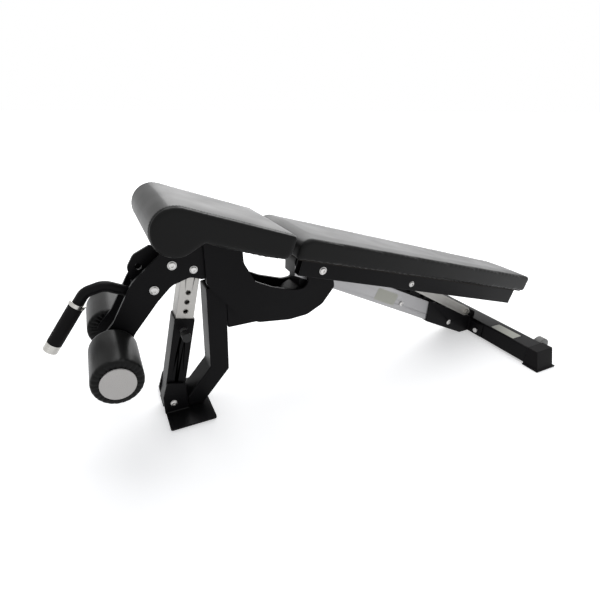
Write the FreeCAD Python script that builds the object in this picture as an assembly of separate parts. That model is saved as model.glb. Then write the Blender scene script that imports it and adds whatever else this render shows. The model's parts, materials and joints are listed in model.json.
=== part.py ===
"""Adjustable weight bench with a decline seat, leg rollers and a laddered backrest.

Millimetres. +X runs from the foot end to the head end, +Y is the far side, +Z is up.
The bench is symmetric about Y = 0 apart from the pull pin. It is drawn declined, with
the seat raised on its telescopic post and the backrest on the last ladder notch.
Side views are built in the XZ plane and extruded across the bench.
"""
import FreeCAD
import Part
import math
import os

V = FreeCAD.Vector

# ---------------------------------------------------------------- driving dimensions
SEAT_WIDTH = 298.0
BACK_WIDTH_HINGE, BACK_WIDTH_HEAD = 266.0, 180.0
FIT = 0.05            # radial clearance of a pin in its hole
GAP = 0.3             # clearance between faces that slide past each other
SIDE_GAP = 1.5        # clearance between nested plates and tubes

# key points of the side view (x, z)
POST_FOOT = (23.0, 35.0)
POST_HEAD = (105.0, 403.0)
SEAT_PIVOT = (449.0, 348.0)
BACK_HINGE = (387.0, 380.0)
ARM_BOLTS = ((12.0, 368.0), (57.0, 421.0))
ROLLER_AXIS = (-95.5, 245.0)

# base
FOOT_LENGTH, FOOT_WIDTH, FOOT_PLATE, FOOT_RUBBER = 120.0, 196.0, 5.0, 3.0
LEG_WIDTH, LEG_DEPTH, LEG_WALL = 60.0, 50.0, 3.0
LEG_TOP, LEG_FACE, LEG_BEND, LEG_LEAN = 345.0, 129.0, 118.0, 1.0
LEG_FOOT_SLOPE = 49.5
CLEVIS_PLATE, CLEVIS_BACK, CLEVIS_TOP = 6.0, 60.0, 96.0
NECK_BOTTOM, NECK_TOP, NECK_WALL = 226.0, 286.0, 3.0
SPINE_SIZE, SPINE_WALL = 60.0, 2.5
SPINE_DROP = 12.4     # the spine's centre line passes this far under the seat pivot
SPINE_END_Z = 24.76    # height of the spine's centre line at the rear foot
SPINE_FRONT, SPINE_SHORT = 372.0, 115.0
SLEEVE_WALL, SLEEVE_LENGTH = 4.0, 218.0
FLANGE_THICK, FLANGE_WIDTH, FLANGE_BOLT_Y, FLANGE_BOLT_Z = 4.0, 180.0, 67.0, 26.0
CROSS_X, CROSS_DEPTH, CROSS_WALL = 1090.0, 70.0, 2.5
CROSS_BOTTOM, CROSS_TOP, CROSS_LENGTH = 5.0, 60.0, 560.0
BOOT_WALL, BOOT_LAP, BOOT_TOP_OUT, BOOT_OUT, BOOT_LIP = 2.0, 26.0, 5.0, 26.0, 5.0
WHEEL_RADIUS, WHEEL_WIDTH, WHEEL_INSET, WHEEL_LIFT, WHEEL_HUB = 28.0, 24.0, 50.0, 4.0, 11.0
WHEEL_PLATE, WHEEL_BOLT = 3.0, 5.0
SLEEVE_BOLT_RUN, SLEEVE_BOLT_DROP = 112.0, 13.0
SPINE_BOLT_RUN, SPINE_BOLT_DROP = 336.0, 6.7

# ladder
ROD_RADIUS, ROD_REACH = 10.0, 50.0
LADDER_PLATE, LADDER_Y = 6.0, 18.0
LADDER_SHORT, LADDER_RUN, NOTCHES = 47.0, 522.0, 9
TOOTH_LOW, TOOTH_HIGH, TOOTH_LAST = 16.0, 6.0, -5.0
LADDER_TAIL, LADDER_NOSE = 84.0, 18.0

# seat carriage
PLATE, PLATE_INNER = 8.0, 39.5
WINDOW_FLOOR, WINDOW_FRONT, LOBE_RADIUS = 306.0, 222.0, 26.0
ARM_END_RADIUS = 27.0
EAR_PLATE, EAR_HOLE, EAR_HOLE_RADIUS = 8.0, (-12.0, 416.0), 7.5
BOLT, SMALL_BOLT, HEAD, HEAD_HEIGHT = 6.0, 5.0, 10.5, 5.0
SPACER_RADIUS = 10.0
SEAT_CORNER, SEAT_TILT = (320.8, 486.0), 19.3
SEAT_LENGTH, SEAT_THICK, NOSE_RADIUS = 314.0, 60.0, 52.0
MOUNT_THICK, MOUNT_WIDTH, MOUNT_REAR = 5.0, 220.0, 60.0
NOSE_WRAP, BOARD_STEP, SEAT_REAR_TOP, SEAT_REAR_LOW = 35.0, 26.0, 7.0, 22.0
BOARD_THICK, BOARD_INSET, BOARD_SINK = 14.0, 9.0, 12.0

# rollers and handle
ROLLER_RADIUS, ROLLER_IN, ROLLER_OUT = 52.5, 46.0, 186.0
AXLE_RADIUS, CORE_RADIUS, CAP_RADIUS, CAP_THICK = 10.0, 15.0, 35.4, 3.0
HANDLE_RADIUS, GRIP_RADIUS, RING_RADIUS = 12.5, 16.5, 18.0
HANDLE_PATH = ((-22.0, 334.0), (-44.0, 360.0), (-90.0, 382.0), (-131.0, 372.0), (-213.0, 262.0))
HANDLE_BENDS = (22.0, 38.0, 30.0)
GRIP_LENGTH, RING_LENGTH, PLUG_LENGTH = 101.0, 9.0, 20.0

# telescopic post
POST_SIZE, POST_WALL, POST_BELOW, POST_ABOVE = 50.0, 2.5, 14.0, 243.0
TUBE_SIZE, TUBE_WALL, TUBE_LENGTH, TUBE_HEAD = 44.0, 2.5, 273.0, 18.0
HOLE_RADIUS, HOLE_PITCH, HOLE_FIRST, HOLES = 5.5, 25.0, 65.0, 5
HEAD_SLOT = 4.5       # how far the head pin can drift in the tube's slot
PIN_RADIUS, KNOB_RADIUS, KNOB_LENGTH, BARREL_RADIUS, BARREL_LENGTH = 4.5, 11.5, 22.0, 9.0, 18.0
PULL = 8.0

# backrest
BACK_TILT = 16.2
BACK_FRONT, BACK_REAR = -72.0, 895.0
BACK_UNDER, BACK_TOP, BACK_BOARD = 26.0, 80.0, 24.0
CORNER, HEAD_CORNER, EDGE = 30.0, 10.0, 10.0
RAIL_OUTER, RAIL_WIDTH, RAIL_BOTTOM, RAIL_WALL = 82.0, 25.0, -26.0, 2.0
RAIL_FRONT, RAIL_REAR, PLUG_THICK = -25.0, 849.0, 3.0
LUG_PLATE, LUG_RADIUS = 6.0, 19.0
TIE_FRONT, TIE_DEPTH, TIE_BOTTOM, END_TIE_DEPTH = 84.0, 18.0, 12.0, 25.0
STRUT_PIN = (361.0, -6.0)
STRUT_Y, STRUT_PLATE, STRUT_DEPTH, STRUT_SLEEVE = 36.0, 7.0, 30.0, 10.0


# ---------------------------------------------------------------- helpers
def outline(corners):
    """Closed XZ wire through (x, z, r) corners, each rounded with radius r."""
    count = len(corners)
    arcs = []
    for i in range(count):
        x, z, r = (tuple(corners[i]) + (0.0,))[:3]
        here = V(x, 0, z)
        before = V(corners[i - 1][0], 0, corners[i - 1][1]) - here
        after = V(corners[(i + 1) % count][0], 0, corners[(i + 1) % count][1]) - here
        before.normalize()
        after.normalize()
        if r <= 0:
            arcs.append((here, None, here))
            continue
        half = before.getAngle(after) / 2
        reach = r / math.tan(half)
        middle = before + after
        middle.normalize()
        centre = here + middle * (r / math.sin(half))
        arcs.append((here + before * reach, centre - middle * r, here + after * reach))
    edges = []
    for i in range(count):
        start, top, end = arcs[i]
        if top is not None:
            edges.append(Part.Arc(start, top, end).toShape())
        following = arcs[(i + 1) % count][0]
        if end.distanceToPoint(following) > 1e-6:
            edges.append(Part.makeLine(end, following))
    return Part.Wire(edges)


def plate(corners, y0, y1):
    """Flat piece with the given side view, from y0 to y1."""
    face = Part.Face(outline(corners))
    face.translate(V(0, y0, 0))
    return face.extrude(V(0, y1 - y0, 0))


def hollow(corners, width, wall):
    """Closed box section with the given side view and wall, centred on Y = 0."""
    outer = plate(corners, -width / 2, width / 2)
    inner_wire = outline([c[:2] for c in corners]).makeOffset2D(-wall)
    inner = Part.Face(inner_wire)
    inner.translate(V(0, wall - width / 2, 0))
    return outer.cut(inner.extrude(V(0, width - 2 * wall, 0)))


def box(x0, x1, y0, y1, z0, z1):
    return Part.makeBox(x1 - x0, y1 - y0, z1 - z0, V(x0, y0, z0))


def rod(point, radius, y0, y1):
    """Round bar along Y through the side-view point."""
    return Part.makeCylinder(radius, y1 - y0, V(point[0], y0, point[1]), V(0, 1, 0))


def ring(point, radius, bore, y0, y1):
    return rod(point, radius, y0, y1).cut(rod(point, bore, y0 - 1, y1 + 1))


def square_tube(size_x, size_y, wall, z0, z1):
    """Open-ended tube along Z, centred on the Z axis."""
    outer = box(-size_x / 2, size_x / 2, -size_y / 2, size_y / 2, z0, z1)
    inner_x, inner_y = size_x / 2 - wall, size_y / 2 - wall
    return outer.cut(box(-inner_x, inner_x, -inner_y, inner_y, z0 - 1, z1 + 1))


def mirrored(shape):
    return shape.mirror(V(0, 0, 0), V(0, 1, 0))


def pair(shape):
    """The near piece and its mirror image, as separate solids of one node."""
    return Part.makeCompound([shape, mirrored(shape)])


def placed(shape, origin, tilt):
    """Turn a piece drawn level at the origin by tilt (head end down), and move it."""
    moved = shape.copy()
    moved.rotate(V(0, 0, 0), V(0, 1, 0), tilt)
    moved.translate(V(origin[0], 0, origin[1]))
    return moved


def along(origin, tilt, s, n):
    """Side-view point that lies s along and n above a tilted line from origin."""
    c, d = math.cos(math.radians(tilt)), math.sin(math.radians(tilt))
    return (origin[0] + s * c + n * d, origin[1] - s * d + n * c)


def cut_all(shape, tools):
    for tool in tools:
        shape = shape.cut(tool)
    return shape


def through_bolt(point, radius, grip, head=HEAD, height=HEAD_HEIGHT, gap=0.0):
    """Bolt along Y with a round head outside each face of the grip."""
    reach = grip + gap + height
    shape = rod(point, radius, -reach, reach)
    for side in (-1, 1):
        low, high = sorted((side * (grip + gap), side * reach))
        shape = shape.fuse(rod(point, head, low, high))
    return shape.removeSplitter()


# ---------------------------------------------------------------- derived sizes
SPINE_RISE = (SEAT_PIVOT[1] - SPINE_DROP - SPINE_END_Z) / (CROSS_X - SEAT_PIVOT[0])
SPINE_SLOPE = math.degrees(math.atan(SPINE_RISE))
SPINE_REAR = CROSS_X - SPINE_SHORT
SLEEVE_FRONT = CROSS_X - SLEEVE_LENGTH
LADDER_LOW = CROSS_X - LADDER_SHORT
LADDER_HIGH = LADDER_LOW - LADDER_RUN
SPINE_HALF = SPINE_SIZE / 2 / math.cos(math.radians(SPINE_SLOPE))
POST_TILT = math.degrees(math.atan2(POST_HEAD[0] - POST_FOOT[0], POST_HEAD[1] - POST_FOOT[1]))
POST_SPAN = math.hypot(POST_HEAD[0] - POST_FOOT[0], POST_HEAD[1] - POST_FOOT[1])
PLATE_OUTER = PLATE_INNER + PLATE
ARM_INNER = PLATE_INNER - PLATE
LUG_INNER = LEG_WIDTH / 2 + SIDE_GAP
LUG_OUTER = LUG_INNER + LUG_PLATE
CLEVIS_INNER = POST_SIZE / 2 + SIDE_GAP
FLOOR_PLATE = FOOT_RUBBER + FOOT_PLATE
ROD_LIFT = SPINE_SIZE / 2 + SLEEVE_WALL + SIDE_GAP + ROD_RADIUS
CROSS_REAR = CROSS_X + CROSS_DEPTH
CROSS_HALF = CROSS_LENGTH / 2
BOOT_TOP_END = CROSS_HALF + BOOT_TOP_OUT
BOOT_END = CROSS_HALF + BOOT_OUT
WHEEL_Y = CROSS_HALF - WHEEL_INSET
NOSE = SEAT_LENGTH - NOSE_RADIUS
NOSE_BLEND = NOSE - NOSE_RADIUS * math.cos(math.radians(NOSE_WRAP))
BOARD_FRONT = NOSE_BLEND - BOARD_STEP
RAIL_INNER = RAIL_OUTER - RAIL_WIDTH
WHEEL_AXIS = (CROSS_REAR + WHEEL_RADIUS + 1.0, WHEEL_RADIUS + WHEEL_LIFT)


def spine_z(x, lift=0.0):
    """Height at x of the spine's centre line, or of a parallel line lift above it."""
    rise = lift / math.cos(math.radians(SPINE_SLOPE))
    return SEAT_PIVOT[1] - SPINE_DROP - (x - SEAT_PIVOT[0]) * SPINE_RISE + rise


def spine_point(x, lift):
    """Point square on to the spine's centre line at x, lift above it, and that origin."""
    slope = math.radians(SPINE_SLOPE)
    foot = x - lift * math.sin(slope)
    return (foot, spine_z(foot)), (x, spine_z(foot) + lift * math.cos(slope))


SLEEVE_BOLT = (CROSS_X - SLEEVE_BOLT_RUN, spine_z(CROSS_X - SLEEVE_BOLT_RUN) - SLEEVE_BOLT_DROP)
SPINE_BOLT = (CROSS_X - SPINE_BOLT_RUN, spine_z(CROSS_X - SPINE_BOLT_RUN) - SPINE_BOLT_DROP)
LADDER_ORIGIN, ROD_POINT = spine_point(LADDER_LOW, ROD_LIFT)
STRUT_TOP = along(BACK_HINGE, BACK_TILT, *STRUT_PIN)
STRUT_SPAN = math.hypot(ROD_POINT[0] - STRUT_TOP[0], ROD_POINT[1] - STRUT_TOP[1])
STRUT_TILT = math.degrees(math.atan2(STRUT_TOP[1] - ROD_POINT[1], ROD_POINT[0] - STRUT_TOP[0]))

parts = {}


# ---------------------------------------------------------------- base
def make_foot():
    half = FOOT_WIDTH / 2
    plate_top = box(0, FOOT_LENGTH, -half, half, FOOT_RUBBER, FLOOR_PLATE)
    corners = [e for e in plate_top.Edges if abs(e.tangentAt(e.FirstParameter).z) > 0.9]
    parts["front_foot_plate"] = plate_top.makeFillet(6, corners)
    pad = box(4, FOOT_LENGTH - 4, -half + 4, -half + 44, 0, FOOT_RUBBER)
    parts["front_foot_rubbers"] = pair(pad)
    side = [(-2, FLOOR_PLATE, 0), (-2, 58, 12), (12, CLEVIS_TOP + 6, 10),
            (CLEVIS_BACK - 1, CLEVIS_TOP - 8, 10), (CLEVIS_BACK, FLOOR_PLATE, 0)]
    cheek = plate(side, -CLEVIS_INNER - CLEVIS_PLATE, -CLEVIS_INNER)
    cheek = cheek.cut(rod(POST_FOOT, SMALL_BOLT + FIT, -60, 60))
    parts["foot_clevis_plates"] = pair(cheek)
    parts["post_foot_pin"] = through_bolt(POST_FOOT, SMALL_BOLT, CLEVIS_INNER + CLEVIS_PLATE, 9.0, 4.0)


def leg_corners():
    """Side view of the leg: upright, then sloping forward to the foot plate."""
    slope = math.radians(LEG_FOOT_SLOPE)
    lean = math.radians(LEG_LEAN)
    top_shift = (LEG_TOP - LEG_BEND) * math.tan(lean)
    front_low = LEG_BEND - (LEG_FACE - CLEVIS_BACK - SIDE_GAP) * math.tan(slope)
    turn = LEG_DEPTH * math.tan((math.pi / 2 - slope) / 2)
    back_bend = LEG_BEND - turn
    back_foot = LEG_FACE + LEG_DEPTH - (back_bend - FLOOR_PLATE) / math.tan(slope)
    return [(CLEVIS_BACK + SIDE_GAP, FLOOR_PLATE), (CLEVIS_BACK + SIDE_GAP, front_low),
            (LEG_FACE, LEG_BEND), (LEG_FACE + top_shift, LEG_TOP),
            (LEG_FACE + LEG_DEPTH + top_shift, LEG_TOP + 6), (LEG_FACE + LEG_DEPTH, back_bend),
            (back_foot, FLOOR_PLATE)]


def make_leg():
    parts["front_leg"] = hollow(leg_corners(), LEG_WIDTH, LEG_WALL)


def make_neck():
    """Box under the seat plates that joins the leg to the front of the spine."""
    face = LEG_FACE + LEG_DEPTH + (LEG_TOP - LEG_BEND) * math.tan(math.radians(LEG_LEAN))
    crest = SPINE_FRONT + 13
    heel = SEAT_PIVOT[0] + 3
    shape = [(face, NECK_BOTTOM), (face, NECK_TOP + 22), (face + 30, NECK_TOP),
             (crest - 45, NECK_TOP), (crest, NECK_TOP + 20), (crest, spine_z(crest, -SPINE_SIZE / 2)),
             (heel, spine_z(heel, -SPINE_SIZE / 2)), (heel - 12, NECK_BOTTOM + 34),
             (crest - 33, NECK_BOTTOM)]
    neck = hollow(shape, LEG_WIDTH, NECK_WALL)
    parts["base_neck"] = neck.cut(parts["front_leg"])


def spine_side(x0, x1, half):
    return [(x0, spine_z(x0, -half)), (x0, spine_z(x0, half)), (x1, spine_z(x1, half)),
            (x1, spine_z(x1, -half))]


def make_spine():
    half = SPINE_SIZE / 2
    side = spine_side(SPINE_FRONT, SPINE_REAR, half)
    rounded = [side[0], side[1] + (20,), side[2], side[3]]
    outer = plate(rounded, -half, half)
    inner = plate(spine_side(SPINE_FRONT + 3, SPINE_REAR + 3, half - SPINE_WALL),
                  SPINE_WALL - half, half - SPINE_WALL)
    inner = inner.common(plate(spine_side(SPINE_FRONT + 30, SPINE_REAR + 3, half - SPINE_WALL),
                               SPINE_WALL - half, half - SPINE_WALL))
    spine = outer.cut(inner)
    bush = BOLT + 4
    spine = cut_all(spine, [rod(SEAT_PIVOT, bush + FIT, -60, 60), rod(BACK_HINGE, bush + FIT, -60, 60)])
    half_bolts = rod(SLEEVE_BOLT, BOLT + FIT, -60, 60).fuse(rod(SPINE_BOLT, SMALL_BOLT + FIT, -60, 60))
    parts["spine"] = spine.cut(half_bolts)
    bushes = [ring(SEAT_PIVOT, bush, BOLT + FIT, -PLATE_INNER + GAP, PLATE_INNER - GAP),
              ring(BACK_HINGE, bush, BOLT + FIT, -LUG_INNER + GAP, LUG_INNER - GAP)]
    parts["hinge_bushes"] = Part.makeCompound(bushes)
    parts["hinge_bolts"] = Part.makeCompound([
        through_bolt(SEAT_PIVOT, BOLT, PLATE_OUTER, gap=GAP),
        through_bolt(BACK_HINGE, BOLT, LUG_OUTER, 9.0, 6.0, gap=GAP)])
    parts["spine_bolts"] = Part.makeCompound([
        through_bolt(SLEEVE_BOLT, BOLT, SPINE_SIZE / 2 + SLEEVE_WALL, 9.0, 4.5),
        through_bolt(SPINE_BOLT, SMALL_BOLT, SPINE_SIZE / 2, 8.0, 4.0)])


def make_sleeve():
    """Black socket over the end of the spine, with the flange that meets the cross foot."""
    half = SPINE_SIZE / 2 + SLEEVE_WALL
    end = CROSS_X - FLANGE_THICK
    floor = CROSS_BOTTOM + 3
    meet = SLEEVE_FRONT
    while spine_z(meet, -half) > floor and meet < end - 10:
        meet += 1.0
    side = [(SLEEVE_FRONT, spine_z(SLEEVE_FRONT, -half)), (SLEEVE_FRONT, spine_z(SLEEVE_FRONT, half)),
            (end, spine_z(end, half)), (end, floor), (meet, floor)]
    sleeve = plate(side, -half, half)
    bore = SPINE_SIZE / 2 + FIT
    hollow_side = spine_side(SLEEVE_FRONT - 5, SPINE_REAR + 1, bore)
    sleeve = sleeve.cut(plate(hollow_side, -bore, bore))
    core = plate(side, -bore, bore).common(plate(spine_side(SPINE_REAR, end - 4, bore), -bore, bore))
    core = core.common(box(SPINE_REAR, end - 4, -bore, bore, floor + SLEEVE_WALL, 400))
    sleeve = sleeve.cut(core)
    sleeve = sleeve.cut(rod(SLEEVE_BOLT, BOLT + FIT, -60, 60))
    flange = box(end, CROSS_X, -FLANGE_WIDTH / 2, FLANGE_WIDTH / 2, floor, CROSS_TOP - 4)
    parts["rear_socket"] = sleeve.fuse(flange.cut(flange_holes())).removeSplitter()


def flange_holes():
    tools = []
    for side in (-1, 1):
        start = V(CROSS_X - 30, side * FLANGE_BOLT_Y, FLANGE_BOLT_Z)
        tools.append(Part.makeCylinder(5 + FIT, 60, start, V(1, 0, 0)))
    return Part.makeCompound(tools)


def make_cross_foot():
    tube = box(CROSS_X, CROSS_REAR, -CROSS_HALF, CROSS_HALF, CROSS_BOTTOM, CROSS_TOP)
    length_edges = [e for e in tube.Edges if abs(e.tangentAt(e.FirstParameter).y) > 0.9]
    tube = tube.makeFillet(5, length_edges)
    inner = box(CROSS_X + CROSS_WALL, CROSS_REAR - CROSS_WALL, -CROSS_HALF - 1, CROSS_HALF + 1,
                CROSS_BOTTOM + CROSS_WALL, CROSS_TOP - CROSS_WALL)
    parts["rear_cross_foot"] = tube.cut(inner).cut(flange_holes())
    bolts = []
    for side in (-1, 1):
        face = CROSS_X - FLANGE_THICK
        head = Part.makeCylinder(8, 5, V(face - 5, side * FLANGE_BOLT_Y, FLANGE_BOLT_Z), V(1, 0, 0))
        shank = Part.makeCylinder(5, 22, V(face, side * FLANGE_BOLT_Y, FLANGE_BOLT_Z), V(1, 0, 0))
        bolts.append(head.fuse(shank).removeSplitter())
    parts["flange_bolts"] = Part.makeCompound(bolts)


def make_boots():
    """Rubber boot over each end of the cross foot, with a lip on the floor."""
    low_x, high_x = CROSS_X - BOOT_WALL, CROSS_REAR + BOOT_WALL
    top = CROSS_TOP + BOOT_WALL
    start = -(CROSS_HALF - BOOT_LAP)
    side = [V(low_x, start, 0), V(low_x, start, top), V(low_x, -BOOT_TOP_END, top),
            V(low_x, -BOOT_END + 4, BOOT_LIP), V(low_x, -BOOT_END + 4, 0), V(low_x, start, 0)]
    block = Part.Face(Part.makePolygon(side)).extrude(V(high_x - low_x, 0, 0))
    lip = box(low_x - 4, high_x + 6, -BOOT_END, start, 0, BOOT_LIP)
    boot = block.fuse(lip).removeSplitter()
    socket = box(CROSS_X - FIT, CROSS_REAR + FIT, -CROSS_HALF - FIT, start + 1,
                 CROSS_BOTTOM - FIT, CROSS_TOP + FIT)
    boot = boot.cut(socket)
    parts["rear_boot_near"] = boot
    parts["rear_boot_far"] = mirrored(boot)


def make_wheels():
    inner = WHEEL_Y - WHEEL_WIDTH / 2 - 2
    outer = WHEEL_Y + WHEEL_WIDTH / 2 + 2
    x, z = WHEEL_AXIS
    tongue = [(CROSS_REAR, z - 14), (CROSS_REAR, z + 16), (x, z + 12, 11), (x + 12, z + 12, 11),
              (x + 12, z - 12, 11), (x, z - 12, 11)]
    cheeks = []
    for y in (-inner, -outer - WHEEL_PLATE):
        cheek = plate(tongue, y, y + WHEEL_PLATE)
        cheeks.append(cheek.cut(rod(WHEEL_AXIS, WHEEL_BOLT + FIT, -400, 400)))
    near = Part.makeCompound(cheeks)
    parts["wheel_brackets"] = Part.makeCompound([near, mirrored(near)])
    y0, y1 = -outer - WHEEL_PLATE, -inner + WHEEL_PLATE
    bolt = rod(WHEEL_AXIS, WHEEL_BOLT, y0 - 4, y1 + 4)
    bolt = bolt.fuse(rod(WHEEL_AXIS, 8, y0 - 4, y0)).fuse(rod(WHEEL_AXIS, 8, y1, y1 + 4))
    parts["wheel_axle_bolts"] = pair(bolt.removeSplitter())
    half = WHEEL_WIDTH / 2
    wheel = rod(WHEEL_AXIS, WHEEL_RADIUS, -WHEEL_Y - half, -WHEEL_Y + half)
    rims = [e for e in wheel.Edges if abs(e.BoundBox.XLength - 2 * WHEEL_RADIUS) < 0.1]
    wheel = wheel.makeFillet(3, rims)
    wheel = wheel.fuse(rod(WHEEL_AXIS, WHEEL_HUB, -WHEEL_Y - half - 1, -WHEEL_Y + half + 1))
    wheel = wheel.cut(rod(WHEEL_AXIS, WHEEL_BOLT + FIT, -400, 400)).removeSplitter()
    parts["wheel_near"] = wheel
    parts["wheel_far"] = mirrored(wheel)


def ladder_piece(corners):
    """Pair of flat ladder pieces from (s, n) corners along and square to the spine."""
    points = [along(LADDER_ORIGIN, SPINE_SLOPE, s, n) for s, n in corners]
    shape = plate(points, -LADDER_Y - LADDER_PLATE, -LADDER_Y)
    return pair(shape.cut(box(CROSS_X - FLANGE_THICK - 1, 1400, -90, 90, 0, CROSS_TOP + GAP)))


def make_ladder():
    """Two strips on the spine with saw teeth: steep towards the hinge, sloped behind."""
    slope = math.radians(SPINE_SLOPE)
    step = (LADDER_LOW - LADDER_HIGH) / (NOTCHES - 1) / math.cos(slope)
    foot, lift = SPINE_SIZE / 2, SPINE_SIZE / 2 + SLEEVE_WALL
    seat = ROD_LIFT - ROD_RADIUS - GAP
    wide = ROD_RADIUS + GAP + 0.4
    shoulder = (SLEEVE_FRONT - 2 - LADDER_ORIGIN[0] - lift * math.sin(slope)) / math.cos(slope)
    front = -(NOTCHES - 1) * step - wide - LADDER_NOSE
    strip = [(LADDER_TAIL - 14, seat), (front, seat), (front, foot), (shoulder, foot),
             (shoulder, lift), (LADDER_TAIL - 14, lift)]
    tail = [(wide, seat), (wide, ROD_LIFT + TOOTH_LOW - 3), (wide + 3, ROD_LIFT + TOOTH_LOW),
            (LADDER_TAIL - 10, foot + 26), (LADDER_TAIL, foot + 14), (LADDER_TAIL - 14, seat)]
    nose = [(front, seat), (front + 3, ROD_LIFT - 6), (front + LADDER_NOSE / 2, ROD_LIFT - 2),
            (front + LADDER_NOSE, seat + 4), (front + LADDER_NOSE, seat)]
    teeth = [ladder_piece(tail), ladder_piece(nose)]
    for i in range(1, NOTCHES):
        tip = ROD_LIFT + TOOTH_LOW + (TOOTH_HIGH - TOOTH_LOW) * i / (NOTCHES - 1)
        if i == NOTCHES - 1:
            tip = ROD_LIFT + TOOTH_LAST
        face, back = wide - i * step, step - wide - i * step
        teeth.append(ladder_piece([(face, seat), (face, tip - 3), (face + 3, tip),
                                   (back - (tip - seat - 4), tip), (back, seat + 4), (back, seat)]))
    parts["ladder_plates"] = ladder_piece(strip)
    parts["ladder_teeth"] = Part.makeCompound(teeth)


# ---------------------------------------------------------------- seat carriage
def seat_line(s, n):
    return along(SEAT_CORNER, SEAT_TILT, s, n)


def side_plate():
    """U-shaped plate: front cheek under the seat, low bridge, rear lobe at the pivot."""
    under = -SEAT_THICK - BOARD_THICK + BOARD_SINK - MOUNT_THICK
    front = LEG_FACE + 1
    fall = math.tan(math.radians(SEAT_TILT))
    mount_low = seat_line(0, under)
    crown, crest = [mount_low[1] + (mount_low[0] - x) * fall for x in (front, WINDOW_FRONT)]
    px, pz = SEAT_PIVOT
    floor = WINDOW_FLOOR
    corners = [(front, crown, 0), (front + 1, 362, 30), (208, 264, 24), (262, 233, 30),
               (350, 222, 60), (405, 226, 40), (452, 250, 30), (487, 296, 14),
               (px + LOBE_RADIUS, pz + 4, LOBE_RADIUS - 8), (px + 4, pz + LOBE_RADIUS, 12),
               (px - 45, pz + 37, 8), (px - 45, floor + 2, 20), (367, floor, 30), (300, floor + 21, 40),
               (254, floor + 44, 20), (WINDOW_FRONT + 3, floor + 98, 30), (WINDOW_FRONT, crest, 0)]
    shape = plate(corners, -PLATE_OUTER, -PLATE_INNER)
    return shape.cut(rod(SEAT_PIVOT, BOLT + FIT, -60, 60))


def arm_plate():
    """Curved arm from the seat plates down to the roller axle."""
    x, z = ROLLER_AXIS
    r = ARM_END_RADIUS
    under = -SEAT_THICK - BOARD_THICK + BOARD_SINK - MOUNT_THICK
    top_a = seat_line(9 - NOSE, -2 * NOSE_RADIUS - 10)
    top_b = seat_line(-BOARD_FRONT, under)
    top_c = seat_line(-120, under)
    corners = [(36, 450, 20), (-34, 392, 75), (-84, 306, 40), (x - r, z + 20, 24),
               (x - r + 2, z - r, r - 3), (x + r, z - r, r - 3), (-44, 266, 50), (17, 338, 60),
               (52, 372, 40), (96, 386, 26), (122, 376, 6), (150, 376, 10), (top_c[0], top_c[1], 0),
               (top_b[0], top_b[1], 0), (top_a[0], top_a[1], 10)]
    shape = plate(corners, -PLATE_INNER, -ARM_INNER)
    holes = [rod(p, BOLT + FIT, -60, 60) for p in ARM_BOLTS + (POST_HEAD,)]
    holes.append(rod(ROLLER_AXIS, AXLE_RADIUS + FIT, -60, 60))
    return cut_all(shape, holes)


def handle_solid(radius, bore=0.0):
    """Bent tube swept along the handle path."""
    corners = [V(x, 0, z) for x, z in HANDLE_PATH]
    edges = []
    start = corners[0]
    for i in range(1, len(corners) - 1):
        here = corners[i]
        before = corners[i - 1] - here
        after = corners[i + 1] - here
        before.normalize()
        after.normalize()
        half = before.getAngle(after) / 2
        reach = HANDLE_BENDS[i - 1] / math.tan(half)
        middle = before + after
        middle.normalize()
        centre = here + middle * (HANDLE_BENDS[i - 1] / math.sin(half))
        p, q = here + before * reach, here + after * reach
        edges.append(Part.makeLine(start, p))
        edges.append(Part.Arc(p, centre - middle * HANDLE_BENDS[i - 1], q).toShape())
        start = q
    edges.append(Part.makeLine(start, corners[-1]))
    path = Part.Wire(edges)
    direction = corners[1] - corners[0]
    circle = Part.Wire(Part.makeCircle(radius, corners[0], direction))
    solid = path.makePipeShell([circle], True, True)
    if bore > 0:
        circle = Part.Wire(Part.makeCircle(bore, corners[0], direction))
        solid = solid.cut(path.makePipeShell([circle], True, True))
    return solid


def make_handle():
    tube = handle_solid(HANDLE_RADIUS, HANDLE_RADIUS - 2)
    parts["handle_tube"] = tube
    end = V(HANDLE_PATH[-1][0], 0, HANDLE_PATH[-1][1])
    back = V(HANDLE_PATH[-2][0], 0, HANDLE_PATH[-2][1]) - end
    back.normalize()

    def sleeve(radius, bore, start, stop):
        base = end + back * start
        outer = Part.makeCylinder(radius, stop - start, base, back)
        return outer.cut(Part.makeCylinder(bore, stop - start + 2, base - back, back))
    fit = HANDLE_RADIUS + FIT
    parts["handle_grip"] = sleeve(GRIP_RADIUS, fit, 0, GRIP_LENGTH)
    collar = sleeve(RING_RADIUS, fit, GRIP_LENGTH, GRIP_LENGTH + RING_LENGTH)
    plug = Part.makeCylinder(GRIP_RADIUS, PLUG_LENGTH, end - back * PLUG_LENGTH, back)
    parts["handle_caps"] = Part.makeCompound([collar, plug])


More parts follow.
